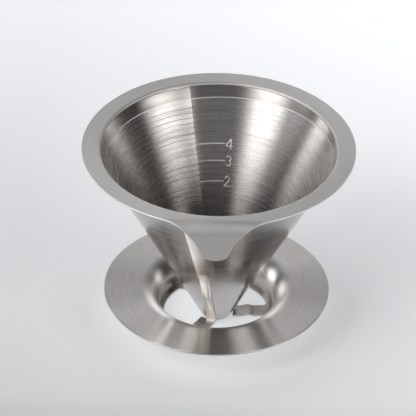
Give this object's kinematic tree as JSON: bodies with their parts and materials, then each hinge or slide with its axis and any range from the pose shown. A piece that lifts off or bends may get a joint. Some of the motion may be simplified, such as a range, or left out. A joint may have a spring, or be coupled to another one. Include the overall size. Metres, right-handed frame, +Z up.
{
  "type": "pour over dripper",
  "caption": "Pour over coffee dripper: a double-wall metal filter cone with a flared rim and tongue, held by straps and spokes over the open throat of a round base plate.",
  "frame": {"origin": "centre of the circle that the dripper stands on, at its bottom", "axes": "+Z up along the cone's axis, the tongue on the rim faces -Y, +X to the right of the tongue"},
  "size_m": [0.131, 0.1304, 0.098],
  "materials": {
    "flange_steel": "satin brushed",
    "outer_mesh_steel": "bright etched sheet, finely perforated",
    "inner_mesh_steel": "bright fine mesh",
    "base_steel": "spun, satin",
    "spoke_steel": "satin",
    "strap_steel": "satin, spot welded"
  },
  "bodies": {
    "root": {"rim_flange": "flange_steel", "outer_filter_cone": "outer_mesh_steel", "inner_filter_cone": "inner_mesh_steel", "tip_disc": "inner_mesh_steel", "base_plate": "base_steel", "spoke_ring": "spoke_steel", "strap_front": "strap_steel", "strap_rear_right": "strap_steel", "strap_rear_left": "strap_steel"}
  },
  "joints": []
}
